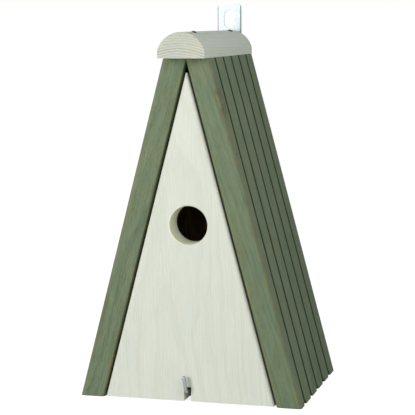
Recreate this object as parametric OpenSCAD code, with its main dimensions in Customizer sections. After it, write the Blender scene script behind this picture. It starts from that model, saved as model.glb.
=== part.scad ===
// A tall, narrow nest box for small birds. Two grooved boards lean together like
// the two sides of a letter A, a half-round cap covers the ridge, and the front
// panel swings out on two pivot nails once the hook below it is turned down.
// Sizes are in millimetres. Z is up, X runs to the right, and the front faces -Y.
// The origin is on the ground, below the middle of the whole box.

/* [Body] */
// Width across the feet of the side boards
base_w = 192; // [170:1:236]
// Height of the side boards
body_h = 286; // [240:1:344]
// Width cut off each board where the two meet under the cap
mitre = 1.3; // [0.8:0.1:3]
// Depth of the side boards, front to back
board_depth = 142; // [118:1:172]
// Thickness of the side boards
board_t = 20.6; // [17:0.1:25]
// Radius on the four long edges of a side board
edge_r = 3; // [1.5:0.1:4]

/* [Grooves] */
// Distance from the front edge to the first groove
groove_first = 16.9; // [14:0.1:21]
// Distance from groove to groove
groove_pitch = 25.5; // [21:0.1:31]
// Width of a groove
groove_w = 2.6; // [2:0.1:3.2]
// Depth of a groove
groove_depth = 2.8; // [2:0.1:3.4]
// Radius on the shoulders beside a groove
shoulder_r = 1.8; // [1:0.1:2]

/* [Front panel] */
// Thickness of the front panel
panel_t = 20; // [16:0.5:24]
// Level gap between the panel and each side board
panel_gap = 1.3; // [1:0.1:2]
// Gap under the panel
panel_foot = 0.9; // [0.5:0.1:2]
// Width of the panel at its blunt top
panel_tip_w = 1.2; // [1:0.1:3]
// Radius on the two front edges of the panel
panel_edge_r = 2.4; // [1.5:0.1:3]
// Diameter of the entrance hole
hole_d = 32; // [26:1:38]
// Height of the middle of the entrance hole
hole_z = 149; // [120:1:160]
// Distance of the entrance hole to the right of the middle
hole_offset = 1; // [-2:0.5:2]
// Radius on the front rim of the entrance hole
hole_rim_r = 1; // [0.5:0.1:2]
// Width of the notch for the hook
notch_w = 6; // [5:0.5:8]
// Height of the notch, from the foot of the panel
notch_h = 12; // [11.5:0.1:16]

/* [Back panel and floor] */
// Thickness of the back panel
back_t = 20; // [16:0.5:24]
// Width of the back panel at its blunt top
back_tip_w = 2; // [1:0.5:4]
// Thickness of the floor board
floor_t = 20; // [17:0.5:24]
// Gap between the front panel and the floor board
floor_gap = 1; // [0.5:0.1:2]

/* [Pivot nails] */
// Height of the pivot nails
pivot_z = 210; // [195:1:225]
// Distance of the pivot nails behind the face of the panel
pivot_inset = 6; // [5:0.1:7]
// Diameter of a pivot nail
pivot_nail_d = 3; // [2.5:0.1:3.6]
// Length of a pivot nail inside the panel
pivot_reach = 11; // [8:0.5:12]
// Diameter of the head of a pivot nail
pivot_head_d = 5; // [4.4:0.1:5.6]
// Thickness of the head of a pivot nail
pivot_head_t = 1.2; // [1:0.1:1.5]

/* [Catch hook] */
// Diameter of the wire
wire_d = 3; // [2.5:0.1:3.4]
// Height of the shank above the ground
hook_z = 9.5; // [9:0.1:10.4]
// Distance of the hook to the right of the middle
hook_offset = -1; // [-2:0.5:2]
// Distance from the face of the panel to the middle of the leg
hook_stand = 4; // [3.6:0.1:6]
// Length of the leg above the middle of the shank
hook_leg = 13.8; // [11:0.1:17]
// Radius of the bend, at the middle of the wire
hook_bend_r = 2.8; // [2:0.1:3.4]
// Lean of the leg to the left, in degrees
hook_lean = 9; // [0:1:20]
// Length of the shank inside the floor board
hook_screw_l = 18; // [14:1:24]

/* [Ridge cap] */
// Width of the cap
cap_w = 39.6; // [36:0.1:48]
// Height of the cap
cap_h = 21.1; // [17.5:0.1:25.5]
// How much the radius of the round top exceeds half the width of the cap
crown_ease = 0.6; // [0.2:0.1:1.5]
// Length of the cap in front of the side boards
cap_overhang = 14.7; // [12:0.1:18]

/* [Cap screws] */
// Distance of each screw from the nearer end of the cap
cap_screw_inset = 21; // [17:0.5:26]
// Distance of the screws to the right of the middle
cap_screw_offset = 5; // [4:0.5:6]
// Diameter of the shank
cap_screw_d = 3; // [2.5:0.1:3.5]
// Length of the shank
cap_screw_l = 32; // [27:1:34]
// Diameter of the head
cap_screw_head_d = 5; // [4.5:0.1:6]
// Height of the round head
cap_screw_head_h = 2.2; // [1.8:0.1:2.6]

/* [Hanger] */
// Width of the plate
plate_w = 21.6; // [18:0.1:26]
// Thickness of the plate
plate_t = 2; // [1.6:0.1:2.4]
// Length of the plate
plate_l = 95; // [80:1:100]
// Height of the plate above the cap
plate_rise = 23; // [21:0.5:28]
// Distance of the plate to the right of the middle
plate_offset = -1; // [-2:0.5:2]
// Radius on the corners of the plate
plate_corner_r = 3; // [2:0.1:5]
// Width of the slot
slot_w = 10; // [8:0.1:12]
// Length of the slot, end to end
slot_l = 16.5; // [13:0.1:17]
// Distance from the top of the plate to the slot
slot_top = 5; // [4:0.1:6]
// Diameter of the hanger screws
plate_screw_d = 3.5; // [3:0.1:4]
// Diameter of the heads of the hanger screws
plate_screw_head_d = 7; // [6:0.1:8]
// Length of the hanger screws
plate_screw_l = 25; // [20:1:30]
// Height of the upper hanger screw above the foot of the cap
plate_screw_up = 10; // [8:0.5:12]
// Distance from the foot of the plate to the lower hanger screw
plate_screw_down = 10; // [8:0.5:14]

/* [Nails] */
// Diameter of a nail
nail_d = 2.2; // [1.8:0.1:2.6]
// Diameter of the head of a nail
nail_head_d = 4; // [3.4:0.1:4.8]
// Thickness of the head of a nail
nail_head_t = 1; // [0.8:0.1:1.4]
// Length of a nail inside the piece that it holds
nail_reach = 14; // [11:0.5:15]
// Heights at which the nails enter the back panel
nail_heights = [45, 120, 190]; // [30:1:200]
// Distance of the floor nails from the front and back ends of the floor board
floor_nail_inset = 16; // [12:0.5:20]

/* [Hidden] */
$fn = 48;

fit = 0.05;        // clearance round a pin, nail or screw, all round
glue = 0.02;       // glue line between two fixed boards
over = 1;          // how far a cutter runs past what it cuts
stain = "#8b917f";
paint = "#dfe2d6";
bare = "#b9bbae";
zinc = "#c9ced2";
brown = "#4a3a30";

// The boards lean in until their inner faces, less the mitre, meet under the cap
board_reach = [base_w / 2 + mitre, body_h];
lean = acos(board_t / norm(board_reach)) - atan2(board_reach[1], board_reach[0]);
slope = tan(lean);                          // how far a board leans in for each mm of height
board_level_t = board_t / cos(lean);        // thickness of a board measured level
total_h = body_h + cap_h + plate_rise;
front_y = cap_overhang - (cap_overhang + board_depth + plate_t) / 2;
back_y = front_y + board_depth;             // where boards, back panel and cap all end
floor_y = front_y + panel_t + floor_gap;    // front end of the floor board
inner_back_y = back_y - back_t;
groove_count = floor((board_depth - groove_first - groove_w - edge_r) / groove_pitch) + 1;
plate_foot = total_h - plate_l;
cap_y = front_y - cap_overhang;
cap_l = cap_overhang + board_depth;
floor_l = inner_back_y - floor_y;
crown_r = cap_w / 2 + crown_ease;
crown_z = body_h + cap_h - crown_r;         // height of the middle of the crown's circle
cap_screw_seat = crown_z + sqrt(pow(crown_r, 2) - pow(cap_screw_offset + cap_screw_head_d / 2, 2));

function outer_x(z) = base_w / 2 - z * slope;
function inner_x(z) = outer_x(z) - board_level_t;
function panel_x(z) = inner_x(z) - panel_gap;
function panel_height(half_w) = (panel_x(0) - half_w) / slope;
function back_x(z) = inner_x(z) - glue;
function back_height(half_w) = (back_x(0) - half_w) / slope;

// A corner to cut away, which leaves a round edge; its point is at the origin
module round_edge(r) {
    difference() {
        translate([-r, -r]) square(r + over);
        translate([-r, -r]) circle(r);
    }
}

// Cross-section of a side board: its inner face on X = 0, its front edge on Y = 0
module board_profile() {
    difference() {
        square([board_t, board_depth]);
        translate([board_t, board_depth]) round_edge(edge_r);
        translate([board_t, 0]) mirror([0, 1]) round_edge(edge_r);
        translate([0, board_depth]) mirror([1, 0]) round_edge(edge_r);
        rotate(180) round_edge(edge_r);
        for (i = [0 : groove_count - 1])
            translate([board_t, groove_first + i * groove_pitch]) groove();
    }
}

module groove() {
    translate([-groove_depth, -groove_w / 2]) square([groove_depth + over, groove_w]);
    translate([0, -groove_w / 2]) round_edge(shoulder_r);
    translate([0, groove_w / 2]) mirror([0, 1]) round_edge(shoulder_r);
}

// Puts its children in the frame of the right board: X out of its inner face,
// Y to the back from its front edge, Z up along the board from its foot
module on_right_board() {
    translate([inner_x(0), front_y, 0]) rotate([0, -lean, 0]) children();
}

module for_side(side) {
    if (side == "left") mirror([1, 0, 0]) children();
    else children();
}

// A flat panel between the boards, cut level at its foot and its blunt top
module between_boards(y, t, foot_z, foot_half, top_z, top_half) {
    translate([0, y + t, 0]) rotate([90, 0, 0]) linear_extrude(t)
        polygon([[-foot_half, foot_z], [foot_half, foot_z], [top_half, top_z], [-top_half, top_z]]);
}

// A nail or screw that points along +Z from the underside of its head
module nail(d, l, head_d, head_t, room = 0) {
    cylinder(d = d + 2 * room, h = l + room);
    translate([0, 0, -head_t - (room > 0 ? over : 0)])
        cylinder(d = head_d + 2 * room, h = head_t + (room > 0 ? over : 0));
}

module back_nail(i, room = 0) {
    on_right_board()
        translate([board_t - nail_head_t, board_depth - back_t / 2, nail_heights[i] / cos(lean)])
            rotate([0, -90, 0])
                nail(nail_d, board_t - nail_head_t + nail_reach, nail_head_d, nail_head_t, room);
}

module floor_nail(y, room = 0) {
    on_right_board()
        translate([board_t - nail_head_t, y - front_y, floor_t / 2 / cos(lean)])
            rotate([0, -90, 0])
                nail(nail_d, board_t - nail_head_t + nail_reach, nail_head_d, nail_head_t, room);
}

module floor_end_nail(x, room = 0) {
    translate([x, back_y - nail_head_t, floor_t / 2]) rotate([90, 0, 0])
        nail(nail_d, back_t - nail_head_t + nail_reach, nail_head_d, nail_head_t, room);
}

module pivot_nail(room = 0) {
    head_x = outer_x(pivot_z) - pivot_head_t;
    translate([head_x, front_y + pivot_inset, pivot_z]) rotate([0, -90, 0])
        nail(pivot_nail_d, head_x - panel_x(pivot_z) + pivot_reach,
             pivot_head_d, pivot_head_t, room);
}

module cap_screw(y, room = 0) {
    dome_r = (pow(cap_screw_head_d / 2, 2) + pow(cap_screw_head_h, 2)) / 2 / cap_screw_head_h;
    translate([cap_screw_offset, y, cap_screw_seat]) {
        translate([0, 0, -cap_screw_l - room])
            cylinder(d = cap_screw_d + 2 * room, h = cap_screw_l + room + fit);
        if (room > 0)
            cylinder(d = cap_screw_head_d + 2 * room, h = cap_screw_head_h + over);
        else
            intersection() {
                cylinder(d = cap_screw_head_d, h = cap_screw_head_h);
                translate([0, 0, cap_screw_head_h - dome_r]) sphere(dome_r);
            }
    }
}

module plate_screw(z, room = 0) {
    translate([plate_offset, back_y + plate_t, z]) rotate([90, 0, 0]) {
        cylinder(d = plate_screw_d + 2 * room, h = plate_screw_l + room);
        cylinder(d1 = plate_screw_head_d + 2 * room, d2 = plate_screw_d + 2 * room, h = plate_t);
    }
}

// Puts its children where the middle lines of the hook's leg and shank would cross
module at_hook() {
    translate([hook_offset, front_y - hook_stand, hook_z]) children();
}

module hook_shank(room = 0) {
    tip_y = hook_stand + panel_t + floor_gap + hook_screw_l + room;
    translate([0, tip_y, 0]) rotate([90, 0, 0])
        cylinder(d = wire_d + 2 * room, h = tip_y - hook_bend_r);
}

cap_screw_ys = [cap_y + cap_screw_inset, cap_y + cap_l - cap_screw_inset];
plate_screw_zs = [body_h + plate_screw_up, plate_foot + plate_screw_down];
floor_nail_ys = [floor_y + floor_nail_inset, floor_y + floor_l - floor_nail_inset];
floor_end_x = inner_x(floor_t) / 2;

module side_board(side) {
    color(stain) for_side(side) difference() {
        intersection() {
            on_right_board() translate([0, 0, -body_h / 2])
                linear_extrude(2 * body_h) board_profile();
            translate([0, front_y - over, 0]) cube([base_w, board_depth + 2 * over, body_h]);
        }
        for (i = [0 : len(nail_heights) - 1]) back_nail(i, fit);
        for (y = floor_nail_ys) floor_nail(y, fit);
        pivot_nail(fit);
        if (side == "right") for (y = cap_screw_ys) cap_screw(y, fit);
    }
}

module back_panel() {
    color(stain) difference() {
        between_boards(inner_back_y, back_t, 0, back_x(0), back_height(back_tip_w / 2), back_tip_w / 2);
        for (side = ["left", "right"], i = [0 : len(nail_heights) - 1]) for_side(side) back_nail(i, fit);
        for (x = [-floor_end_x, floor_end_x]) floor_end_nail(x, fit);
        plate_screw(plate_screw_zs[1], fit);
    }
}

module floor_board() {
    color(stain) difference() {
        between_boards(floor_y, floor_l, 0, back_x(0), floor_t, back_x(floor_t));
        for (side = ["left", "right"], y = floor_nail_ys) for_side(side) floor_nail(y, fit);
        for (x = [-floor_end_x, floor_end_x]) floor_end_nail(x, fit);
        at_hook() hook_shank(fit);
    }
}

// Cross-section of the cap: a round top on upright sides
module cap_profile() {
    intersection() {
        translate([-cap_w / 2, body_h]) square([cap_w, cap_h]);
        union() {
            translate([0, crown_z]) circle(crown_r, $fn = 96);
            if (crown_z > body_h) translate([-cap_w / 2, body_h]) square([cap_w, crown_z - body_h]);
        }
    }
}

module ridge_cap() {
    color(bare) difference() {
        translate([0, cap_y + cap_l, 0]) rotate([90, 0, 0]) linear_extrude(cap_l) cap_profile();
        for (y = cap_screw_ys) cap_screw(y, fit);
        plate_screw(plate_screw_zs[0], fit);
    }
}

// All that lies left of the panel's right side, with its round front edge
module left_of_panel_side() {
    on_right_board() translate([-panel_gap * cos(lean), 0, -body_h / 2]) linear_extrude(2 * body_h)
        difference() {
            translate([-base_w, 0]) square([base_w, panel_t]);
            mirror([0, 1]) round_edge(panel_edge_r);
        }
}

module panel_blank() {
    intersection() {
        left_of_panel_side();
        mirror([1, 0, 0]) left_of_panel_side();
        translate([-base_w / 2, front_y - over, panel_foot])
            cube([base_w, panel_t + 2 * over, panel_height(panel_tip_w / 2) - panel_foot]);
    }
}

module front_panel() {
    color(paint) difference() {
        panel_blank();
        for (side = ["left", "right"]) for_side(side) pivot_nail(fit);
        translate([hole_offset, front_y, hole_z]) rotate([-90, 0, 0]) entrance_cutter();
        translate([hook_offset - notch_w / 2, front_y - over, panel_foot - over])
            cube([notch_w, panel_t + 2 * over, notch_h + over]);
    }
}

// The entrance hole with its rounded front rim, along +Z from the face of the panel
module entrance_cutter() {
    translate([0, 0, -over]) cylinder(d = hole_d, h = panel_t + 2 * over);
    rotate_extrude() translate([hole_d / 2, 0]) rotate(180) round_edge(hole_rim_r);
}

module catch_hook() {
    color(zinc) at_hook() rotate([0, -hook_lean, 0]) {
        hook_shank();
        translate([0, hook_bend_r, hook_bend_r]) rotate([180, 90, 0])
            rotate_extrude(angle = 90) translate([hook_bend_r, 0]) circle(d = wire_d);
        translate([0, 0, hook_bend_r]) cylinder(d = wire_d, h = hook_leg - hook_bend_r - wire_d / 2);
        translate([0, 0, hook_leg - wire_d / 2]) sphere(d = wire_d);
    }
}

module hanger_plate() {
    color(zinc) difference() {
        translate([plate_offset, back_y + plate_t, 0]) rotate([90, 0, 0]) linear_extrude(plate_t)
            difference() {
                translate([-plate_w / 2, plate_foot]) square([plate_w, plate_l]);
                for (a = [0, 1], b = [0, 1])
                    translate([0, plate_foot + plate_l / 2]) mirror([a, 0]) mirror([0, b])
                        translate([plate_w / 2, plate_l / 2]) round_edge(plate_corner_r);
                slot();
            }
        for (z = plate_screw_zs) plate_screw(z, fit);
    }
}

module slot() {
    slot_r = slot_w / 2;
    for (z = [total_h - slot_top - slot_r, total_h - slot_top - slot_l + slot_r])
        translate([0, z]) circle(slot_r);
    translate([-slot_r, total_h - slot_top - slot_l + slot_r]) square([slot_w, slot_l - slot_w]);
}

side_board("left");  // left_side_board
side_board("right");  // right_side_board
back_panel();
floor_board();
ridge_cap();
front_panel();
catch_hook();
hanger_plate();
color(zinc) plate_screw(plate_screw_zs[0]);  // hanger_screw_upper
color(zinc) plate_screw(plate_screw_zs[1]);  // hanger_screw_lower
color(brown) cap_screw(cap_screw_ys[0]);  // cap_screw_front
color(brown) cap_screw(cap_screw_ys[1]);  // cap_screw_back
for (side = ["left", "right"]) {
    color(zinc) for_side(side) pivot_nail();
    for (i = [0 : len(nail_heights) - 1])
        color(zinc) for_side(side) back_nail(i);
    color(zinc) for_side(side) floor_nail(floor_nail_ys[0]);
    color(zinc) for_side(side) floor_nail(floor_nail_ys[1]);
    color(zinc) for_side(side) floor_end_nail(floor_end_x);
}
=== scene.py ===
import math

import bpy
from mathutils import Matrix, Vector


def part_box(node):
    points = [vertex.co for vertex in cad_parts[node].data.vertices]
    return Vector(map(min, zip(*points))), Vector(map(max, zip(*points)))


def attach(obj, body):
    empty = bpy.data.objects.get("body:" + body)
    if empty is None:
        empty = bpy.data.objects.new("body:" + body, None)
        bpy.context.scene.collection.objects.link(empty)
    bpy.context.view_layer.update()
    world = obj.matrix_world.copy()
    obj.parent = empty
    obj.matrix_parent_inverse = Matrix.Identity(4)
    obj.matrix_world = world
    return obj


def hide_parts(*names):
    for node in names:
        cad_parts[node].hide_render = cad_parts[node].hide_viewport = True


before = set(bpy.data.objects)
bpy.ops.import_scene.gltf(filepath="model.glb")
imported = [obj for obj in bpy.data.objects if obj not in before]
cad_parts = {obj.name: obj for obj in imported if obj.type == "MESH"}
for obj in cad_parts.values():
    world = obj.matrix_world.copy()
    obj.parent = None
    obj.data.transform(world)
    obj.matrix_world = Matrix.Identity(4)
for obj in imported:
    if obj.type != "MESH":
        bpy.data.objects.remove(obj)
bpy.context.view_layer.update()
scene = bpy.context.scene
print("frame loaded:", len(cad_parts), "nodes")

# Where the wooden pieces are, in metres
boardLean = math.radians(14.88)
rightBoardLow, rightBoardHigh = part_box("right_side_board")
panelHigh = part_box("front_panel")[1]
backLow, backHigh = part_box("back_panel")
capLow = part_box("ridge_cap")[0]
boardThickness = 0.0206
outerFace = rightBoardHigh.x * math.cos(boardLean)     # outer face of a board, square to the board
innerFace = outerFace - boardThickness


# Small helpers for modelling

def deselectAll():
    if bpy.context.mode != "OBJECT":
        bpy.ops.object.mode_set(mode="OBJECT")
    bpy.ops.object.select_all(action="DESELECT")


def pickOnly(piece):
    deselectAll()
    piece.select_set(True)
    bpy.context.view_layer.objects.active = piece


def selectVertices(piece, wanted):
    # vertex select mode, with what wanted(co) accepts
    bpy.ops.object.mode_set(mode="EDIT")
    bpy.ops.mesh.select_mode(type="VERT")
    bpy.ops.mesh.select_all(action="DESELECT")
    bpy.ops.object.mode_set(mode="OBJECT")
    for vertex in piece.data.vertices:
        vertex.select = wanted(vertex.co)
    bpy.ops.object.mode_set(mode="EDIT")


def applyModifier(piece, kind, **settings):
    modifier = piece.modifiers.new(kind.title(), kind)
    for name, value in settings.items():
        setattr(modifier, name, value)
    bpy.ops.object.modifier_apply(modifier=modifier.name)


def cutAway(piece, cutter):
    pickOnly(piece)
    applyModifier(piece, "BOOLEAN", object=cutter, operation="DIFFERENCE", solver="EXACT")
    bpy.data.objects.remove(cutter)


def settle(piece, smoothAngle=38):
    # place into the mesh, doubles merged, normals out, flat faces kept flat beside round edges
    pickOnly(piece)
    bpy.ops.object.transform_apply(location=True, rotation=True, scale=True)
    bpy.ops.object.mode_set(mode="EDIT")
    bpy.ops.mesh.select_all(action="SELECT")
    bpy.ops.mesh.remove_doubles(threshold=1e-6)
    bpy.ops.mesh.normals_make_consistent(inside=False)
    bpy.ops.object.mode_set(mode="OBJECT")
    bpy.ops.object.shade_smooth_by_angle(angle=math.radians(smoothAngle))
    applyModifier(piece, "WEIGHTED_NORMAL", mode="FACE_AREA", weight=50, keep_sharp=True)


def markWornEdges(piece, widest):
    # 1 in the middle of every rounding, 0 where it meets a flat face
    mesh = piece.data
    narrow = [True] * len(mesh.vertices)
    for face in mesh.polygons:
        around = sum((mesh.vertices[a].co - mesh.vertices[b].co).length for a, b in face.edge_keys)
        if 2 * face.area / around > widest:
            for index in face.vertices:
                narrow[index] = False
    worn = mesh.attributes.new("edgeWear", "FLOAT", "POINT")
    for index, isNarrow in enumerate(narrow):
        worn.data[index].value = 1.0 if isNarrow else 0.0


def finish(piece, material, body, slotName, *nodes):
    piece.data.materials.clear()
    piece.data.materials.append(material)
    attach(piece, body)
    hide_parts(*nodes)


# Small helpers for materials

def tone(red, green, blue):
    # a colour as a painter's chart gives it, 0 to 255, made linear
    linear = [((c / 255 + 0.055) / 1.055) ** 2.4 if c > 10 else c / 255 / 12.92 for c in (red, green, blue)]
    return (*linear, 1.0)


def addNode(tree, kind, inputs=None, **settings):
    made = tree.nodes.new("ShaderNode" + kind)
    for name, value in settings.items():
        setattr(made, name, value)
    for socket, value in (inputs or {}).items():
        if isinstance(value, bpy.types.NodeSocket):
            tree.links.new(value, made.inputs[socket])
        else:
            made.inputs[socket].default_value = value
    return made


def calc(tree, operation, first, second=0.0, third=0.0):
    return addNode(tree, "Math", {0: first, 1: second, 2: third}, operation=operation).outputs[0]


def ramp(tree, value, low, high, toLow=0.0, toHigh=1.0):
    # a soft step between low and high
    made = addNode(tree, "MapRange", {0: value, 1: low, 2: high, 3: toLow, 4: toHigh},
                   interpolation_type="SMOOTHSTEP")
    return made.outputs[0]


def mixColour(tree, share, first, second, blend="MIX"):
    made = addNode(tree, "Mix", {0: share, 6: first, 7: second}, data_type="RGBA", blend_type=blend)
    return made.outputs[2]


def shareOf(tree, mask, share, first, second):
    # second tone over the first, where the mask is, and by no more than the share
    return mixColour(tree, calc(tree, "MULTIPLY", mask, share), first, second)


def noise(tree, vector, scale, detail=2.0, roughness=0.5, distortion=0.0):
    made = addNode(tree, "TexNoise", {"Vector": vector, "Scale": scale, "Detail": detail,
                                      "Roughness": roughness, "Distortion": distortion})
    return made.outputs[0]


def mapped(tree, vector, scale=(1, 1, 1), turn=(0, 0, 0), shift=(0, 0, 0)):
    return addNode(tree, "Mapping", {"Vector": vector, "Location": shift, "Rotation": turn,
                                     "Scale": scale}).outputs[0]


def newGroup(name, inputs, outputs):
    group = bpy.data.node_groups.new(name, "ShaderNodeTree")
    for label, kind, value in inputs:
        socket = group.interface.new_socket(label, in_out="INPUT", socket_type="NodeSocket" + kind)
        if value is not None:
            socket.default_value = value
    for label, kind in outputs:
        group.interface.new_socket(label, in_out="OUTPUT", socket_type="NodeSocket" + kind)
    return group, group.nodes.new("NodeGroupInput").outputs, group.nodes.new("NodeGroupOutput").inputs


def useGroup(tree, group, **inputs):
    made = tree.nodes.new("ShaderNodeGroup")
    made.node_tree = group
    for label, value in inputs.items():
        if isinstance(value, bpy.types.NodeSocket):
            tree.links.new(value, made.inputs[label])
        else:
            made.inputs[label].default_value = value
    return made.outputs


def newMaterial(name):
    material = bpy.data.materials.new(name)
    material.use_nodes = True
    tree = material.node_tree
    tree.nodes.clear()
    shader = addNode(tree, "BsdfPrincipled")
    addNode(tree, "OutputMaterial", {"Surface": shader.outputs[0]})
    place = addNode(tree, "TexCoord").outputs["Object"]
    return material, tree, shader, place


def setShader(tree, shader, colour, roughness, height, bumpDepth, bumpStrength=1.0):
    tree.links.new(colour, shader.inputs["Base Color"])
    tree.links.new(roughness, shader.inputs["Roughness"])
    bump = addNode(tree, "Bump", {"Height": height, "Distance": bumpDepth, "Strength": bumpStrength})
    tree.links.new(bump.outputs[0], shader.inputs["Normal"])


# Effects that several finishes share; in all of them the grain runs along Z

def makeGrowthRings():
    group, given, out = newGroup(
        "growthRings",
        [("Vector", "Vector", None), ("Spacing", "Float", 0.002), ("Wander", "Float", 0.003)],
        [("Late", "Float"), ("Year", "Float")])
    tree = group
    slow = addNode(tree, "TexNoise", {"Vector": mapped(tree, given["Vector"], (1, 1, 0.28)),
                                      "Scale": 26.0, "Detail": 3.0, "Roughness": 0.45})
    sway = addNode(tree, "VectorMath", {0: slow.outputs["Color"], 1: (0.5, 0.5, 0.5)}, operation="SUBTRACT")
    sway = addNode(tree, "VectorMath", {0: sway.outputs[0], "Scale": given["Wander"]}, operation="SCALE")
    moved = addNode(tree, "VectorMath", {0: given["Vector"], 1: sway.outputs[0]}, operation="ADD")
    flat = addNode(tree, "VectorMath", {0: moved.outputs[0], 1: (1, 1, 0)}, operation="MULTIPLY")
    radius = addNode(tree, "VectorMath", {0: flat.outputs[0]}, operation="LENGTH").outputs["Value"]
    count = calc(tree, "DIVIDE", radius, given["Spacing"])
    year = calc(tree, "FRACT", count)
    rise = ramp(tree, year, 0.35, 0.88)
    fall = ramp(tree, year, 0.93, 1.0, 1.0, 0.0)
    tree.links.new(calc(tree, "MULTIPLY", rise, fall), out["Late"])
    whole = calc(tree, "FLOOR", count)
    yearTone = addNode(tree, "TexWhiteNoise", {"W": whole}, noise_dimensions="1D")
    tree.links.new(yearTone.outputs[0], out["Year"])
    return group


def makeWoodFibre():
    group, given, out = newGroup(
        "woodFibre",
        [("Vector", "Vector", None), ("Width", "Float", 0.001), ("Length", "Float", 20.0)],
        [("Streaks", "Float"), ("Pores", "Float")])
    tree = group
    squeeze = addNode(tree, "CombineXYZ", {0: 1.0, 1: 1.0, 2: calc(tree, "DIVIDE", 1.0, given["Length"])})
    along = addNode(tree, "VectorMath", {0: given["Vector"], 1: squeeze.outputs[0]}, operation="MULTIPLY")
    scale = calc(tree, "DIVIDE", 1.0, given["Width"])
    streaks = noise(tree, along.outputs[0], scale, 4.0, 0.62, 0.15)
    tree.links.new(ramp(tree, streaks, 0.28, 0.72), out["Streaks"])
    fine = noise(tree, along.outputs[0], calc(tree, "MULTIPLY", scale, 3.4), 3.0, 0.7)
    tree.links.new(ramp(tree, fine, 0.56, 0.74), out["Pores"])
    return group


def makeBlotches():
    group, given, out = newGroup(
        "blotches",
        [("Vector", "Vector", None), ("Size", "Float", 0.02), ("Stretch", "Float", 3.0),
         ("Middle", "Float", 0.5), ("Softness", "Float", 0.12), ("Seed", "Float", 0.0)],
        [("Mask", "Float")])
    tree = group
    squeeze = addNode(tree, "CombineXYZ", {0: 1.0, 1: 1.0, 2: calc(tree, "DIVIDE", 1.0, given["Stretch"])})
    along = addNode(tree, "VectorMath", {0: given["Vector"], 1: squeeze.outputs[0]}, operation="MULTIPLY")
    cloud = addNode(tree, "TexNoise", {"Vector": along.outputs[0], "W": given["Seed"], "Detail": 3.0,
                                       "Scale": calc(tree, "DIVIDE", 1.0, given["Size"]),
                                       "Roughness": 0.55}, noise_dimensions="4D")
    low = calc(tree, "SUBTRACT", given["Middle"], given["Softness"])
    high = calc(tree, "ADD", given["Middle"], given["Softness"])
    tree.links.new(ramp(tree, cloud.outputs[0], low, high), out["Mask"])
    return group


def makeEdgeWear():
    group, given, out = newGroup(
        "edgeWear",
        [("Vector", "Vector", None), ("Size", "Float", 0.006), ("Amount", "Float", 0.6)],
        [("Mask", "Float")])
    tree = group
    worn = addNode(tree, "Attribute", attribute_name="edgeWear").outputs["Fac"]
    broken = noise(tree, given["Vector"], calc(tree, "DIVIDE", 1.0, given["Size"]), 4.0, 0.65)
    share = calc(tree, "MULTIPLY", worn, ramp(tree, broken, 0.38, 0.66))
    tree.links.new(calc(tree, "MULTIPLY", share, given["Amount"]), out["Mask"])
    return group


def makeScuffs():
    group, given, out = newGroup(
        "scuffs",
        [("Vector", "Vector", None), ("Size", "Float", 0.004)],
        [("Marks", "Float"), ("Dust", "Float")])
    tree = group
    scale = calc(tree, "DIVIDE", 1.0, given["Size"])
    long = mapped(tree, given["Vector"], (1.0, 1.0, 0.12), (0.3, 0.5, 0.2))
    scratches = noise(tree, long, calc(tree, "MULTIPLY", scale, 3.0), 5.0, 0.7, 0.4)
    tree.links.new(ramp(tree, scratches, 0.60, 0.70), out["Marks"])
    tree.links.new(ramp(tree, noise(tree, given["Vector"], scale, 4.0, 0.6), 0.35, 0.7), out["Dust"])
    return group


growthRings = makeGrowthRings()
woodFibre = makeWoodFibre()
blotches = makeBlotches()
edgeWear = makeEdgeWear()
scuffs = makeScuffs()
print("shared effects built")


def patchesOf(tree, vector, shape, seed):
    # shape is size, stretch along the grain, middle and softness of the cloud's edge
    size, stretch, middle, softness = shape
    return useGroup(tree, blotches, Vector=vector, Size=size, Stretch=stretch, Middle=middle,
                    Softness=softness, Seed=seed)["Mask"]


# Finishes, each with its colours beside it

bareWood = {
    # these tones are darker than fresh pine: partly aged wood, partly painted shade that keeps the inside of
    # the box dark
    "pale": tone(172, 150, 116),
    "late": tone(140, 114, 80),
    "dirt": tone(150, 128, 98),
    "worn": tone(226, 208, 172),
    "ringSpacing": 0.0024,
    "ringShare": 0.65,
    "streakShare": 0.22,
    "dirtPatches": (0.03, 1.0, 0.55, 0.16),
    "dirtShare": 0.35,
    "roughness": 0.72,
    "shine": 0.3,
    "bump": 0.0002,
}


def bareWoodColour(tree, grain):
    rings = useGroup(tree, growthRings, Vector=grain, Spacing=bareWood["ringSpacing"], Wander=0.006)
    fibre = useGroup(tree, woodFibre, Vector=grain, Width=0.0009, Length=26.0)
    colour = shareOf(tree, rings["Late"], bareWood["ringShare"], bareWood["pale"], bareWood["late"])
    colour = shareOf(tree, fibre["Streaks"], bareWood["streakShare"], colour, bareWood["late"])
    height = calc(tree, "ADD", rings["Late"], calc(tree, "MULTIPLY", fibre["Streaks"], 0.6))
    return colour, height


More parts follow.
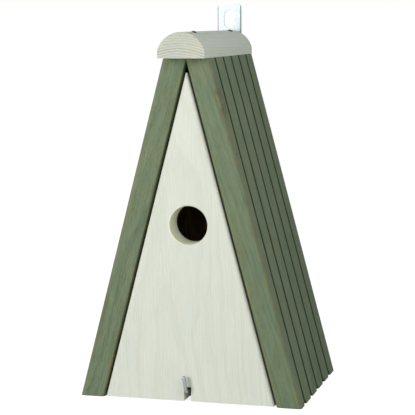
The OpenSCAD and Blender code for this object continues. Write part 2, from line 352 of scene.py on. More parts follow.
stain = {
    "sage": tone(126, 141, 114),
    "olive": tone(130, 139, 106),
    "blueGreen": tone(110, 134, 113),
    "brown": tone(122, 122, 96),
    "rubbed": tone(100, 104, 80),
    "deep": tone(56, 76, 48),
    # painted shade, darkening the grooves and the gap beside the front panel
    "groove": tone(38, 55, 34),
    "worn": tone(152, 128, 84),
    "ringSpacing": 0.0034,
    "fibreWidth": 0.0012,
    "broadWidth": 0.0030,
    "olivePatches": (0.012, 3.0, 0.50, 0.10),      # size, stretch, middle, softness
    "coolPatches": (0.014, 2.2, 0.60, 0.08),
    "brownPatches": (0.007, 5.5, 0.64, 0.06),
    "oliveShare": 0.45,
    "coolShare": 0.4,
    "brownShare": 0.45,
    "yearShare": 0.12,             # how much one year's ring differs from the next
    "ringShare": 0.06,
    "streakShare": 0.17,
    "broadShare": 0.05,
    "poreShare": 0.22,
    "unevenShare": 0.13,
    "grooveShadeShare": 0.92,
    "gapShadeShare": 0.85,
    "rubbedShare": 0.85,
    "wearShare": 0.30,
    "footShadeShare": 0.10,             # how much painted shade darkens the foot and the back of the grooved face
    "backShadeShare": 0.13,
    "underCut": 0.0035,            # a little more than a groove is deep
    "faceSpared": 0.85,            # the edges of the grooves are worn by this much less
    "roughness": 0.68,
    "shine": 0.12,
    "bump": 0.00022,
}


def stainedWood(name, turn, pith, seed, bareMask, grooves=None, rubbedAt=None):
    material, tree, shader, place = newMaterial(name)
    board = mapped(tree, place, turn=turn)
    grain = mapped(tree, board, turn=(0.035, 0.02, 0), shift=pith)
    rings = useGroup(tree, growthRings, Vector=grain, Spacing=stain["ringSpacing"], Wander=0.012)
    fibre = useGroup(tree, woodFibre, Vector=grain, Width=stain["fibreWidth"], Length=22.0)
    broad = useGroup(tree, woodFibre, Vector=grain, Width=stain["broadWidth"], Length=13.0)
    olive = patchesOf(tree, board, stain["olivePatches"], seed)
    cool = patchesOf(tree, board, stain["coolPatches"], seed + 5.0)
    brown = patchesOf(tree, board, stain["brownPatches"], seed + 9.0)
    colour = shareOf(tree, olive, stain["oliveShare"], stain["sage"], stain["olive"])
    colour = shareOf(tree, cool, stain["coolShare"], colour, stain["blueGreen"])
    colour = shareOf(tree, brown, stain["brownShare"], colour, stain["brown"])
    yearly = calc(tree, "MULTIPLY_ADD", rings["Year"], stain["yearShare"], stain["ringShare"])
    dark = calc(tree, "MULTIPLY", rings["Late"], yearly)
    dark = calc(tree, "MULTIPLY_ADD", fibre["Streaks"], stain["streakShare"], dark)
    dark = calc(tree, "MULTIPLY_ADD", broad["Streaks"], stain["broadShare"], dark)
    dark = calc(tree, "MULTIPLY_ADD", fibre["Pores"], stain["poreShare"], dark)
    if grooves:
        groove, shadeFalloff, onFace = grooves(tree, board)
        # painted shade towards the foot and the back joins the grain's dark tone
        dark = calc(tree, "ADD", dark, shadeFalloff)
    uneven = ramp(tree, noise(tree, mapped(tree, board, (1, 1, 0.45)), 150.0, 6.0, 0.68, 0.6), 0.35, 0.70)
    dark = calc(tree, "MULTIPLY_ADD", uneven, stain["unevenShare"], dark)
    colour = mixColour(tree, dark, colour, stain["deep"])
    if rubbedAt:
        colour = mixColour(tree, rubbedPatch(tree, board, rubbedAt), colour, stain["rubbed"])
    if grooves:
        # painted shade in the gap beside the front panel
        colour = mixColour(tree, shadeInPanelGap(tree, board), colour, stain["groove"])
        # painted shade darkening the grooves
        colour = shareOf(tree, groove, stain["grooveShadeShare"], colour, stain["groove"])
    worn = useGroup(tree, edgeWear, Vector=board, Size=0.009, Amount=stain["wearShare"])["Mask"]
    if grooves:
        worn = calc(tree, "MULTIPLY", worn, calc(tree, "MULTIPLY_ADD", onFace, -stain["faceSpared"], 1.0))
    colour = mixColour(tree, worn, colour, stain["worn"])
    bareColour, bareHeight = bareWoodColour(tree, grain)
    colour = mixColour(tree, bareMask(tree, board), colour, bareColour)
    height = calc(tree, "ADD", calc(tree, "MULTIPLY", bareHeight, 0.5), fibre["Streaks"])
    height = calc(tree, "SUBTRACT", height, calc(tree, "MULTIPLY", fibre["Pores"], 0.7))
    roughness = calc(tree, "MULTIPLY_ADD", fibre["Streaks"], 0.14, stain["roughness"] - 0.05)
    setShader(tree, shader, colour, roughness, height, stain["bump"])
    shader.inputs["Specular IOR Level"].default_value = stain["shine"]
    return material


def bareInsideBoard(tree, board):
    # the stain stops a little way in from the front edge and leaves the inner face bare
    parts = addNode(tree, "SeparateXYZ", {0: board}).outputs
    inside = ramp(tree, calc(tree, "ABSOLUTE", parts[0]), innerFace + 0.0001, innerFace + 0.0005, 1.0, 0.0)
    lap = calc(tree, "MULTIPLY_ADD", noise(tree, board, 90.0, 3.0), 0.012, rightBoardLow.y + 0.016)
    return calc(tree, "MULTIPLY", inside, calc(tree, "GREATER_THAN", parts[1], lap))


def groovedFace(tree, board):
    # painted shade: the grooves are darkened, the board grows darker towards its foot, the grooved face
    # most, and the grooved face darker towards its back
    parts = addNode(tree, "SeparateXYZ", {0: board}).outputs
    sunk = calc(tree, "SUBTRACT", outerFace, calc(tree, "ABSOLUTE", parts[0]))
    middle = (rightBoardLow.y + rightBoardHigh.y) / 2
    fromMiddle = calc(tree, "ABSOLUTE", calc(tree, "SUBTRACT", parts[1], middle))
    onFace = calc(tree, "MULTIPLY", calc(tree, "LESS_THAN", sunk, stain["underCut"]),
                  calc(tree, "LESS_THAN", fromMiddle, rightBoardHigh.y - middle - stain["underCut"]))
    groove = calc(tree, "MULTIPLY", ramp(tree, sunk, 0.0, 0.0005), onFace)
    low = ramp(tree, parts[2], 0.0, 0.26, stain["footShadeShare"], 0.0)
    behind = ramp(tree, parts[1], rightBoardLow.y, rightBoardHigh.y, 0.0, stain["backShadeShare"])
    shadeFalloff = calc(tree, "MULTIPLY", behind, onFace)
    shadeFalloff = calc(tree, "MULTIPLY_ADD", low, calc(tree, "MULTIPLY_ADD", onFace, 0.5, 0.5), shadeFalloff)
    return groove, shadeFalloff, onFace


def shadeInPanelGap(tree, board):
    # painted shade in the narrow gap beside the front panel
    parts = addNode(tree, "SeparateXYZ", {0: board}).outputs
    return ramp(tree, calc(tree, "ABSOLUTE", parts[0]), innerFace + 0.0003, innerFace + 0.0016,
                stain["gapShadeShare"], 0.0)


def rubbedPatch(tree, board, height):
    # a long brown patch where a hand or a tool rubbed the front corner
    parts = addNode(tree, "SeparateXYZ", {0: board}).outputs
    upOrDown = calc(tree, "ABSOLUTE", calc(tree, "SUBTRACT", parts[2], height))
    along = ramp(tree, upOrDown, 0.005, 0.024, 1.0, 0.0)
    across = calc(tree, "SUBTRACT", outerFace, calc(tree, "ABSOLUTE", parts[0]))
    nearEdge = ramp(tree, across, 0.002, 0.0055, 1.0, 0.0)
    nearFront = ramp(tree, parts[1], rightBoardLow.y + 0.008, rightBoardLow.y + 0.016, 1.0, 0.0)
    broken = ramp(tree, noise(tree, mapped(tree, board, (1, 1, 0.4)), 220.0, 4.0, 0.6), 0.30, 0.55)
    atCorner = calc(tree, "MULTIPLY", nearEdge, nearFront)
    share = calc(tree, "MULTIPLY", calc(tree, "MULTIPLY", along, broken), atCorner)
    return calc(tree, "MULTIPLY", share, stain["rubbedShare"])


def bareInsideBack(tree, board):
    depth = addNode(tree, "SeparateXYZ", {0: board}).outputs[1]
    return ramp(tree, depth, backLow.y + 0.0001, backLow.y + 0.0006, 1.0, 0.0)


paint = {
    "white": tone(220, 225, 213),
    "warm": tone(217, 218, 202),
    "cool": tone(212, 220, 214),
    "shadow": tone(192, 196, 176),
    "wood": tone(204, 196, 168),
    "litHoleWall": tone(238, 240, 214),
    "ringSpacing": 0.0034,
    "warmPatches": (0.024, 2.4, 0.50, 0.14),
    "coolPatches": (0.016, 2.8, 0.58, 0.12),
    "warmShare": 0.5,
    "coolShare": 0.35,
    "yearShare": 0.16,
    "ringShare": 0.06,
    "streakShare": 0.10,
    "poreShare": 0.08,
    "roughness": 0.5,
    "shine": 0.35,
    "bump": 0.00012,
}


hole = {"height": 0.149, "radius": 0.016}


def paintedWood(name):
    material, tree, shader, place = newMaterial(name)
    grain = mapped(tree, place, turn=(0.02, 0.03, 0), shift=(0.012, -0.035, 0))
    rings = useGroup(tree, growthRings, Vector=grain, Spacing=paint["ringSpacing"], Wander=0.014)
    fibre = useGroup(tree, woodFibre, Vector=grain, Width=0.0013, Length=30.0)
    warm = patchesOf(tree, place, paint["warmPatches"], 2.0)
    cool = patchesOf(tree, place, paint["coolPatches"], 7.0)
    colour = shareOf(tree, warm, paint["warmShare"], paint["white"], paint["warm"])
    colour = shareOf(tree, cool, paint["coolShare"], colour, paint["cool"])
    yearly = calc(tree, "MULTIPLY_ADD", rings["Year"], paint["yearShare"], paint["ringShare"])
    thin = calc(tree, "MULTIPLY", rings["Late"], yearly)
    thin = calc(tree, "MULTIPLY_ADD", fibre["Streaks"], paint["streakShare"], thin)
    thin = calc(tree, "MULTIPLY_ADD", fibre["Pores"], paint["poreShare"], thin)
    colour = mixColour(tree, thin, colour, paint["shadow"])
    # painted light: the wall of the entrance hole is lightened to a pale cream
    parts = addNode(tree, "SeparateXYZ", {0: place}).outputs
    aside = calc(tree, "POWER", parts[0], 2.0)
    above = calc(tree, "POWER", calc(tree, "SUBTRACT", parts[2], hole["height"]), 2.0)
    fromAxis = calc(tree, "SQRT", calc(tree, "ADD", aside, above))
    holeWallLit = ramp(tree, fromAxis, hole["radius"] + 0.0002, hole["radius"] + 0.0006, 1.0, 0.0)
    colour = mixColour(tree, holeWallLit, colour, paint["litHoleWall"])
    worn = useGroup(tree, edgeWear, Vector=place, Size=0.005, Amount=0.35)
    colour = mixColour(tree, worn["Mask"], colour, paint["wood"])
    bareColour, bareHeight = bareWoodColour(tree, grain)
    unpainted = ramp(tree, parts[1], panelHigh.y - 0.0006, panelHigh.y - 0.0001)
    colour = mixColour(tree, unpainted, colour, bareColour)
    height = calc(tree, "ADD", fibre["Streaks"], calc(tree, "MULTIPLY", bareHeight, 0.7))
    roughness = calc(tree, "MULTIPLY_ADD", fibre["Streaks"], 0.12, paint["roughness"])
    setShader(tree, shader, colour, roughness, height, paint["bump"])
    shader.inputs["Specular IOR Level"].default_value = paint["shine"]
    return material


weathered = {
    "pale": tone(215, 217, 199),
    "grey": tone(202, 207, 197),
    "cream": tone(221, 218, 194),
    "late": tone(168, 172, 150),
    # painted light for the cap's sides
    "side": tone(222, 234, 220),
    "worn": tone(216, 216, 202),
    "ringSpacing": 0.0021,
    "greyPatches": (0.016, 3.5, 0.50, 0.14),
    "creamPatches": (0.012, 2.0, 0.56, 0.12),
    "greyShare": 0.8,
    "creamShare": 0.6,
    "yearShare": 0.35,
    "ringShare": 0.2,
    "ringsAlong": 0.35,            # how much of the rings shows along the sides
    "streakShare": 0.14,
    "poreShare": 0.12,
    "sideLightShare": 0.55,
    "roughness": 0.74,
    "shine": 0.25,
    "bump": 0.0002,
}


def weatheredWood(name):
    # the cap: its grain runs front to back, and the rings cross its end nearly level
    material, tree, shader, place = newMaterial(name)
    pith = (0.006, capLow.z - 0.085, 0)
    grain = mapped(tree, place, turn=(math.radians(90), 0, 0), shift=pith)
    rings = useGroup(tree, growthRings, Vector=grain, Spacing=weathered["ringSpacing"], Wander=0.006)
    fibre = useGroup(tree, woodFibre, Vector=grain, Width=0.0010, Length=30.0)
    grey = patchesOf(tree, grain, weathered["greyPatches"], 3.0)
    cream = patchesOf(tree, grain, weathered["creamPatches"], 8.0)
    colour = shareOf(tree, grey, weathered["greyShare"], weathered["pale"], weathered["grey"])
    colour = shareOf(tree, cream, weathered["creamShare"], colour, weathered["cream"])
    facing = addNode(tree, "SeparateXYZ", {0: addNode(tree, "TexCoord").outputs["Normal"]}).outputs[1]
    endGrain = ramp(tree, calc(tree, "ABSOLUTE", facing), 0.3, 0.8)
    yearly = calc(tree, "MULTIPLY_ADD", rings["Year"], weathered["yearShare"], weathered["ringShare"])
    dark = calc(tree, "MULTIPLY", rings["Late"], yearly)
    dark = calc(tree, "MULTIPLY", dark, calc(tree, "ADD", endGrain, weathered["ringsAlong"]))
    dark = calc(tree, "MULTIPLY_ADD", fibre["Streaks"], weathered["streakShare"], dark)
    dark = calc(tree, "MULTIPLY_ADD", fibre["Pores"], weathered["poreShare"], dark)
    colour = mixColour(tree, dark, colour, weathered["late"])
    worn = useGroup(tree, edgeWear, Vector=place, Size=0.005, Amount=0.5)
    colour = mixColour(tree, worn["Mask"], colour, weathered["worn"])
    # painted light: the cap's sides, away from the end grain, are lightened towards the side tone
    litSide = calc(tree, "SUBTRACT", 1.0, endGrain)
    colour = shareOf(tree, litSide, weathered["sideLightShare"], colour, weathered["side"])
    height = calc(tree, "ADD", fibre["Streaks"], calc(tree, "MULTIPLY", rings["Late"], 0.8))
    roughness = calc(tree, "MULTIPLY_ADD", fibre["Streaks"], 0.12, weathered["roughness"] - 0.04)
    setShader(tree, shader, colour, roughness, height, weathered["bump"])
    shader.inputs["Specular IOR Level"].default_value = weathered["shine"]
    return material


def plainWood(name):
    # the floor board: bare, grain from side to side
    material, tree, shader, place = newMaterial(name)
    grain = mapped(tree, place, turn=(0, math.radians(-90), 0), shift=(0.02, 0.05, 0))
    colour, height = bareWoodColour(tree, grain)
    dirt = patchesOf(tree, place, bareWood["dirtPatches"], 4.0)
    colour = shareOf(tree, dirt, bareWood["dirtShare"], colour, bareWood["dirt"])
    worn = useGroup(tree, edgeWear, Vector=place, Size=0.005, Amount=0.4)
    colour = mixColour(tree, worn["Mask"], colour, bareWood["worn"])
    roughness = calc(tree, "MULTIPLY_ADD", dirt, 0.1, bareWood["roughness"])
    setShader(tree, shader, colour, roughness, height, bareWood["bump"])
    shader.inputs["Specular IOR Level"].default_value = bareWood["shine"]
    return material


zinc = {
    "bright": tone(178, 185, 184),
    "blue": tone(158, 176, 180),
    "dull": tone(146, 155, 154),
    # painted shade on the metal
    "zincShade": tone(62, 68, 68),
    "spangle": 0.0035,
    "bump": 0.00003,
    "roughness": 0.24,
}


def brightZinc(name, size, shadeMask):
    # the mask argument gives where painted shade darkens the metal, and how dark it is
    material, tree, shader, place = newMaterial(name)
    cells = addNode(tree, "TexVoronoi", {"Vector": place, "Scale": 1 / zinc["spangle"]}).outputs["Color"]
    cell = addNode(tree, "SeparateColor", {0: cells}).outputs[0]
    marks = useGroup(tree, scuffs, Vector=place, Size=size)
    colour = shareOf(tree, cell, 0.5, zinc["bright"], zinc["blue"])
    colour = shareOf(tree, marks["Dust"], 0.3, colour, zinc["dull"])
    worn = useGroup(tree, edgeWear, Vector=place, Size=0.003, Amount=0.5)
    colour = mixColour(tree, worn["Mask"], colour, zinc["dull"])
    # painted shade from the mask argument
    colour = mixColour(tree, shadeMask(tree, place), colour, zinc["zincShade"])
    roughness = calc(tree, "MULTIPLY_ADD", marks["Dust"], 0.14, zinc["roughness"])
    roughness = calc(tree, "MULTIPLY_ADD", cell, 0.08, roughness)
    setShader(tree, shader, colour, roughness, calc(tree, "SUBTRACT", 1.0, marks["Marks"]), zinc["bump"])
    shader.inputs["Metallic"].default_value = 1.0
    return material


def sheetEdgeShade(tree, place):
    # the cut outer edges of the sheet are darkened, partly as their real duller cut and partly as painted
    # shade, and a thin border beside them gets painted shade
    facing = addNode(tree, "SeparateXYZ", {0: addNode(tree, "TexCoord").outputs["Normal"]}).outputs[1]
    low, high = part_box("hanger_plate")
    aside = calc(tree, "SUBTRACT", addNode(tree, "SeparateXYZ", {0: place}).outputs[0], (low.x + high.x) / 2)
    fromEdge = calc(tree, "SUBTRACT", (high.x - low.x) / 2, calc(tree, "ABSOLUTE", aside))
    cut = calc(tree, "MULTIPLY", ramp(tree, calc(tree, "ABSOLUTE", facing), 0.76, 0.97, 0.95, 0.0),
               calc(tree, "LESS_THAN", fromEdge, 0.0015))
    return calc(tree, "MAXIMUM", cut, ramp(tree, fromEdge, 0.0005, 0.0011, 0.72, 0.0))


def screwRecessShade(tree, place):
    # painted shade in the recess and round the rim of a hanger screw
    depth = addNode(tree, "SeparateXYZ", {0: place}).outputs[1]
    return ramp(tree, depth, backHigh.y + 0.0010, backHigh.y + 0.0019, 0.92, 0.0)


def wireShade(tree, place):
    # painted shade on the wire, deepest towards its bend
    height = addNode(tree, "SeparateXYZ", {0: place}).outputs[2]
    return ramp(tree, height, 0.008, 0.024, 0.45, 0.16)


screwCoat = {
    "brown": tone(70, 54, 46),
    "light": tone(104, 84, 70),
    "steel": tone(150, 146, 140),
    "roughness": 0.42,
}


def brownCoat(name):
    material, tree, shader, place = newMaterial(name)
    marks = useGroup(tree, scuffs, Vector=place, Size=0.0012)
    worn = useGroup(tree, edgeWear, Vector=place, Size=0.0008, Amount=0.7)
    colour = shareOf(tree, marks["Dust"], 0.4, screwCoat["brown"], screwCoat["light"])
    colour = mixColour(tree, worn["Mask"], colour, screwCoat["steel"])
    tree.links.new(calc(tree, "MULTIPLY", worn["Mask"], 0.9), shader.inputs["Metallic"])
    roughness = calc(tree, "MULTIPLY_ADD", marks["Dust"], 0.2, screwCoat["roughness"])
    setShader(tree, shader, colour, roughness, calc(tree, "SUBTRACT", 1.0, marks["Marks"]), 0.00003)
    return material


nailSteel = {
    "stained": tone(92, 102, 80),
    "steel": tone(128, 128, 122),
    "roughness": 0.6,
}


def stainedNail(name):
    # a steel nail whose head was stained over with the boards
    material, tree, shader, place = newMaterial(name)
    marks = useGroup(tree, scuffs, Vector=place, Size=0.0015)
    worn = useGroup(tree, edgeWear, Vector=place, Size=0.001, Amount=0.8)
    share = calc(tree, "MAXIMUM", worn["Mask"], calc(tree, "MULTIPLY", marks["Marks"], 0.5))
    colour = mixColour(tree, share, nailSteel["stained"], nailSteel["steel"])
    tree.links.new(share, shader.inputs["Metallic"])
    roughness = calc(tree, "MULTIPLY_ADD", marks["Dust"], 0.15, nailSteel["roughness"])
    setShader(tree, shader, colour, roughness, marks["Dust"], 0.00005)
    return material


finishes = {
    "leftBoard": stainedWood("stainedLeftBoard", (0, -boardLean, 0), (0.043, -0.012, 0), 1.0,
                             bareInsideBoard, groovedFace, 0.055),
    "rightBoard": stainedWood("stainedRightBoard", (0, boardLean, 0), (-0.040, 0.008, 0), 21.0,
                              bareInsideBoard, groovedFace, 0.235),
    "back": stainedWood("stainedBackPanel", (0, 0, 0), (0.02, -0.03, 0), 41.0, bareInsideBack),
    "panel": paintedWood("paintedFrontPanel"),
    "cap": weatheredWood("weatheredCap"),
    "floor": plainWood("bareFloorBoard"),
    "plate": brightZinc("zincPlate", 0.006, sheetEdgeShade),
    "plateScrew": brightZinc("zincScrewHead", 0.002, screwRecessShade),
    "hook": brightZinc("zincWire", 0.002, wireShade),
    "capScrew": brownCoat("brownScrewHead"),
    "nail": stainedNail("stainedNailHead"),
}
print("finishes built:", len(finishes))


# Boards, panel, cap, hook and nails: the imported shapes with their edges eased

easedPieces = {
    # node: piece, finish, body, slot, ease of the ends, ease of every other sharp edge
    "left_side_board": ("leftSideBoard", "leftBoard", "root", "stained_wood", 0.0026, 0.0003),
    "right_side_board": ("rightSideBoard", "rightBoard", "root", "stained_wood", 0.0026, 0.0003),
    "back_panel": ("backPanel", "back", "root", "stained_wood", 0, 0.0006),
    "floor_board": ("floorBoard", "floor", "root", "bare_wood", 0, 0.0006),
    "ridge_cap": ("ridgeCap", "cap", "root", "weathered_wood", 0, 0.0007),
    "front_panel": ("frontPanel", "panel", "front_panel", "painted_wood", 0, 0.0005),
    "catch_hook": ("catchHook", "hook", "catch_hook", "bright_zinc", 0, 0),
}
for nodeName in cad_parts:
    if "nail" in nodeName:
        easedPieces[nodeName] = (nodeName + "_head", "nail", "root", "nail_steel", 0, 0.00015)


grooveMouth = {
    "first": 0.0169,
    "pitch": 0.0255,
    "count": 5,
    "outside": 0.0048,
    "inside": 0.0012,
    "depth": 0.0036,
}


def openGrooveMouths(piece, side):
    # sanding has opened the foot end of every groove into a small hollow; side is 1 right, -1 left
    outward = Vector((side * math.cos(boardLean), 0, math.sin(boardLean)))
    for index in range(grooveMouth["count"]):
        along = rightBoardLow.y + grooveMouth["first"] + index * grooveMouth["pitch"]
        mouth = Vector((side * rightBoardHigh.x, along, 0))
        deselectAll()
        bpy.ops.mesh.primitive_cone_add(
            vertices=24, radius1=grooveMouth["inside"], radius2=grooveMouth["outside"],
            depth=grooveMouth["depth"], rotation=(0, side * (math.pi / 2 - boardLean), 0),
            location=mouth - outward * (grooveMouth["depth"] / 2 - 0.0004))
        cutAway(piece, bpy.context.active_object)


def easedCopy(nodeName, pieceName, endEase, edgeEase):
    piece = bpy.data.objects.new(pieceName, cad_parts[nodeName].data.copy())
    scene.collection.objects.link(piece)
    pickOnly(piece)
    bpy.ops.object.mode_set(mode="EDIT")
    bpy.ops.mesh.select_all(action="SELECT")
    bpy.ops.mesh.remove_doubles(threshold=2e-6)
    bpy.ops.mesh.normals_make_consistent(inside=False)
    bpy.ops.mesh.dissolve_limited(angle_limit=math.radians(0.4))
    bpy.ops.object.mode_set(mode="OBJECT")
    if endEase:
        top = max(v.co.z for v in piece.data.vertices)
        selectVertices(piece, lambda co: co.z < 1e-5 or co.z > top - 1e-5)
        bpy.ops.mesh.bevel(offset=endEase, segments=3, affect="EDGES", clamp_overlap=True)
        bpy.ops.object.mode_set(mode="OBJECT")
    if "side_board" in nodeName:
        openGrooveMouths(piece, 1 if nodeName.startswith("right") else -1)
    if edgeEase:
        pickOnly(piece)
        applyModifier(piece, "BEVEL", width=edgeEase, segments=2, limit_method="ANGLE",
                      angle_limit=math.radians(42), use_clamp_overlap=True)
    settle(piece)
    markWornEdges(piece, 0.0007)
    return piece


for nodeName, (pieceName, finishName, body, slotName, endEase, edgeEase) in easedPieces.items():
    piece = easedCopy(nodeName, pieceName, endEase, edgeEase)
    finish(piece, finishes[finishName], body, slotName, nodeName)
print("boards, panel, cap, hook and nails eased:", len(easedPieces))


# Hanger plate: a strip with round corners, a slot and two countersinks

hanger = {
    "cornerRadius": 0.003,
    "slotWidth": 0.010,
    "slotLength": 0.0165,
    "slotTop": 0.005,
    "headRadius": 0.0035,
    "shankRadius": 0.00175,
    "room": 0.00012,               # between a screw's head and its countersink
    "ease": 0.00045,
}


def roundedSlab(name, middle, width, length, thickness, radius, segments):
    # an upright slab with round corners, its thickness along Y
    deselectAll()
    front = Vector(middle) - Vector((0, thickness / 2, 0))
    bpy.ops.mesh.primitive_plane_add(size=1, location=front, rotation=(math.radians(90), 0, 0))
    slab = bpy.context.active_object
    slab.name = name
    slab.scale = (width, length, 1)
    bpy.ops.object.transform_apply(location=True, rotation=True, scale=True)
    bpy.ops.object.mode_set(mode="EDIT")
    bpy.ops.mesh.select_all(action="SELECT")
    bpy.ops.mesh.bevel(offset=radius, segments=segments, affect="VERTICES", clamp_overlap=True)
    bpy.ops.mesh.select_all(action="SELECT")
    bpy.ops.mesh.extrude_region_move(TRANSFORM_OT_translate={"value": (0, thickness, 0)})
    bpy.ops.mesh.select_all(action="SELECT")
    bpy.ops.mesh.normals_make_consistent(inside=False)
    bpy.ops.object.mode_set(mode="OBJECT")
    return slab


plateLow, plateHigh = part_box("hanger_plate")
plateMiddle = (plateLow + plateHigh) / 2
plateSize = plateHigh - plateLow
plate = roundedSlab("hangerPlate", plateMiddle, plateSize.x, plateSize.z, plateSize.y,
                    hanger["cornerRadius"], 8)
slotHeight = plateHigh.z - hanger["slotTop"] - hanger["slotLength"] / 2
slotMiddle = Vector((plateMiddle.x, plateMiddle.y, slotHeight))
cutAway(plate, roundedSlab("slotCutter", slotMiddle, hanger["slotWidth"], hanger["slotLength"],
                           plateSize.y * 3, hanger["slotWidth"] / 2 * 0.999, 16))
for nodeName in ("hanger_screw_upper", "hanger_screw_lower"):
    low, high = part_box(nodeName)
    deselectAll()
    wide, narrow = (hanger[part] + hanger["room"] for part in ("headRadius", "shankRadius"))
    bpy.ops.mesh.primitive_cone_add(
        vertices=48, radius1=wide, radius2=narrow, depth=plateSize.y + 0.00002,
        rotation=(math.radians(90), 0, 0),
        location=((low.x + high.x) / 2, plateMiddle.y, (low.z + high.z) / 2))
    cutAway(plate, bpy.context.active_object)
pickOnly(plate)
applyModifier(plate, "BEVEL", width=hanger["ease"], segments=2, limit_method="ANGLE",
              angle_limit=math.radians(40), use_clamp_overlap=True)
settle(plate)
markWornEdges(plate, 0.0004)
finish(plate, finishes["plate"], "root", "bright_zinc", "hanger_plate")
print("hanger plate cut")


# Screws: turned heads with a cross recess, shank and point

def turnedPiece(name, outline, steps=32):
    # outline is [(radius, height), ...]; a small plane shrinks to its first point,
    # and the rest is drawn and spun
    deselectAll()
    bpy.ops.mesh.primitive_plane_add(size=0.001, location=(0, 0, 0))
    piece = bpy.context.active_object
    piece.name = name
    bpy.ops.object.mode_set(mode="EDIT")
    bpy.ops.mesh.select_mode(type="VERT")
    bpy.ops.mesh.select_all(action="SELECT")
    bpy.ops.mesh.merge(type="CENTER")
    here = Vector((outline[0][0], 0, outline[0][1]))
    bpy.ops.transform.translate(value=here)
    for radius, height in outline[1:]:
        there = Vector((radius, 0, height))
        bpy.ops.mesh.extrude_vertices_move(TRANSFORM_OT_translate={"value": there - here})
        here = there
    bpy.ops.mesh.select_all(action="SELECT")
    bpy.ops.mesh.spin(steps=steps, angle=math.tau, center=(0, 0, 0), axis=(0, 0, 1))
    bpy.ops.mesh.select_all(action="SELECT")
    bpy.ops.mesh.remove_doubles(threshold=1e-6)
    bpy.ops.mesh.normals_make_consistent(inside=False)
    bpy.ops.object.mode_set(mode="OBJECT")
    return piece


def crossCutter(width, length, depth, top, turn):
    # one arm of the recess, narrower at its bottom
    deselectAll()
    bpy.ops.mesh.primitive_cube_add(size=1, location=(0, 0, top - depth / 2 + 0.0005),
                                    scale=(length, width, depth + 0.001))
    arm = bpy.context.active_object
    bpy.ops.object.transform_apply(location=True, rotation=True, scale=True)
    low = min(v.co.z for v in arm.data.vertices)
    selectVertices(arm, lambda co: co.z < low + 1e-6)
    bpy.ops.transform.resize(value=(0.35, 0.7, 1))
    bpy.ops.object.mode_set(mode="OBJECT")
    arm.matrix_world = Matrix.Rotation(turn, 4, "Z") @ arm.matrix_world
    return arm


def makeScrew(name, outline, recess, place):
    screw = turnedPiece(name, outline)
    for turn in (recess["turn"], recess["turn"] + math.pi / 2):
        cutAway(screw, crossCutter(recess["width"], recess["length"], recess["depth"], recess["top"], turn))
    pickOnly(screw)
    applyModifier(screw, "BEVEL", width=recess["ease"], segments=2, limit_method="ANGLE",
                  angle_limit=math.radians(44), use_clamp_overlap=True)
    screw.matrix_world = place
    settle(screw)
    markWornEdges(screw, 0.00016)
    return screw


capScrew = {
    "headRadius": 0.0025,
    "headHeight": 0.0022,
    "domeSteps": 8,
    "shankRadius": 0.0015,
    "turns": {"cap_screw_front": 0.35, "cap_screw_back": 1.1},
    "names": {"cap_screw_front": "capScrewFront", "cap_screw_back": "capScrewBack"},
}
for nodeName, pieceName in capScrew["names"].items():
    low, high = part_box(nodeName)
    seat = high.z - capScrew["headHeight"]
    length = seat - low.z
    headRadius, headHeight, shankRadius = (capScrew[k] for k in ("headRadius", "headHeight", "shankRadius"))
    domeRadius = (headRadius ** 2 + headHeight ** 2) / 2 / headHeight
    dome = []
    for step in range(capScrew["domeSteps"] + 1):
        angle = math.asin(headRadius / domeRadius) * step / capScrew["domeSteps"]
        dome.append((domeRadius * math.sin(angle), headHeight - domeRadius * (1 - math.cos(angle))))
    outline = dome + [(headRadius, 0), (shankRadius, 0), (shankRadius, -length + 0.004), (0, -length)]
    recess = {"turn": capScrew["turns"][nodeName], "width": 0.0007, "length": 0.003, "depth": 0.0012,
              "top": headHeight, "ease": 0.00006}
    middle = (low + high) / 2
    place = Matrix.Translation((middle.x, middle.y, seat))
    screw = makeScrew(pieceName, outline, recess, place)
    finish(screw, finishes["capScrew"], "root", "brown_screws", nodeName)

plateScrew = {
    "headRadius": hanger["headRadius"],
    "headDepth": 0.002,
    "shankRadius": hanger["shankRadius"],
    "turns": {"hanger_screw_upper": 0.6, "hanger_screw_lower": 1.25},
    "names": {"hanger_screw_upper": "hangerScrewUpper", "hanger_screw_lower": "hangerScrewLower"},
}
for nodeName, pieceName in plateScrew["names"].items():
    low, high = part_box(nodeName)
    length = high.y - low.y
    headRadius, headDepth, shankRadius = (plateScrew[k] for k in ("headRadius", "headDepth", "shankRadius"))
    outline = [(0, 0), (headRadius - 0.0002, 0), (headRadius, -0.0002), (shankRadius, -headDepth),
               (shankRadius, -length + 0.005), (0, -length)]
    recess = {"turn": plateScrew["turns"][nodeName], "width": 0.0009, "length": 0.0042, "depth": 0.0014,
              "top": 0.0, "ease": 0.00008}
    middle = (low + high) / 2
    place = Matrix.Translation((middle.x, high.y, middle.z)) @ Matrix.Rotation(math.radians(-90), 4, "X")
    screw = makeScrew(pieceName, outline, recess, place)
    finish(screw, finishes["plateScrew"], "root", "bright_zinc", nodeName)
print("screws turned:", len(capScrew["names"]) + len(plateScrew["names"]))


# Floor, light and camera

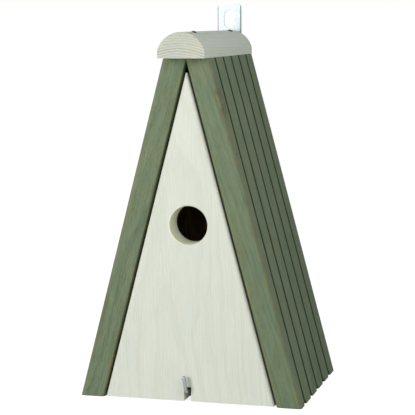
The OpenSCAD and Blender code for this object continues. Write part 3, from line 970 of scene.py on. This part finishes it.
ground = {
    "size": 60.0,
    "colour": tone(204, 204, 202),
    "speckle": tone(196, 196, 194),
    "lift": 0.80,                  # how bright it looks by itself, so that no horizon shows
}
deselectAll()
bpy.ops.mesh.primitive_plane_add(size=ground["size"], location=(0, 0, 0))
groundPlane = bpy.context.active_object
groundPlane.name = "studioFloor"
groundMaterial, tree, shader, place = newMaterial("studioFloor")
speckle = noise(tree, place, 30.0, 3.0)
colour = shareOf(tree, speckle, 0.06, ground["colour"], ground["speckle"])
path = addNode(tree, "LightPath").outputs
seen = calc(tree, "MAXIMUM", path["Is Camera Ray"], path["Is Glossy Ray"])
seen = calc(tree, "MAXIMUM", seen, path["Is Transmission Ray"])
tree.links.new(colour, shader.inputs["Base Color"])
tree.links.new(calc(tree, "MULTIPLY", seen, ground["lift"]), shader.inputs["Emission Strength"])
shader.inputs["Emission Color"].default_value = (1, 1, 1, 1)
shader.inputs["Roughness"].default_value = 0.9
shader.inputs["Specular IOR Level"].default_value = 0.0
groundPlane.data.materials.append(groundMaterial)

studio = {
    "ambient": 0.38,
    "boxes": [
        # name, place, aim, size, share of full light at the object
        ("keyBox", (-0.80, -1.12, 0.46), (0, -0.03, 0.17), 0.6, 0.61),
        ("fillBox", (0.45, -0.42, 0.46), (0.03, -0.03, 0.25), 0.3, 0.32),
    ],
}
world = bpy.data.worlds.new("studioWorld")
scene.world = world
world.use_nodes = True
tree = world.node_tree
tree.nodes.clear()
path = addNode(tree, "LightPath").outputs
seen = calc(tree, "MAXIMUM", path["Is Camera Ray"], path["Is Glossy Ray"])
seen = calc(tree, "MAXIMUM", seen, path["Is Transmission Ray"])
strength = calc(tree, "MULTIPLY_ADD", seen, 1.0 - studio["ambient"], studio["ambient"])
sky = addNode(tree, "Background", {"Color": (1, 1, 1, 1), "Strength": strength})
addNode(tree, "OutputWorld", {"Surface": sky.outputs[0]})

for name, spot, aim, size, share in studio["boxes"]:
    lamp = bpy.data.lights.new(name, "AREA")
    lamp.size = size
    reach = (Vector(aim) - Vector(spot)).length
    lamp.energy = share * (math.pi * reach) ** 2
    lampObject = bpy.data.objects.new(name, lamp)
    scene.collection.objects.link(lampObject)
    lampObject.location = spot
    lampObject.rotation_euler = (Vector(aim) - Vector(spot)).to_track_quat("-Z", "Y").to_euler()

view = {
    "place": (0.342476, -1.218358, 0.317444),
    "yaw": 15.736,
    "pitch": 7.280,
    "roll": -0.410,
    "lens": 128.24,
}
lens = bpy.data.cameras.new("studioCamera")
lens.lens = view["lens"]
lens.sensor_width = 36.0
cameraObject = bpy.data.objects.new("studioCamera", lens)
scene.collection.objects.link(cameraObject)
turned = Matrix.Rotation(math.radians(view["yaw"]), 4, "Z")
turned = turned @ Matrix.Rotation(math.radians(90 - view["pitch"]), 4, "X")
turned = turned @ Matrix.Rotation(math.radians(view["roll"]), 4, "Z")
cameraObject.matrix_world = Matrix.Translation(view["place"]) @ turned
scene.camera = cameraObject
scene.view_settings.view_transform = "Standard"
print("floor, light and camera placed")
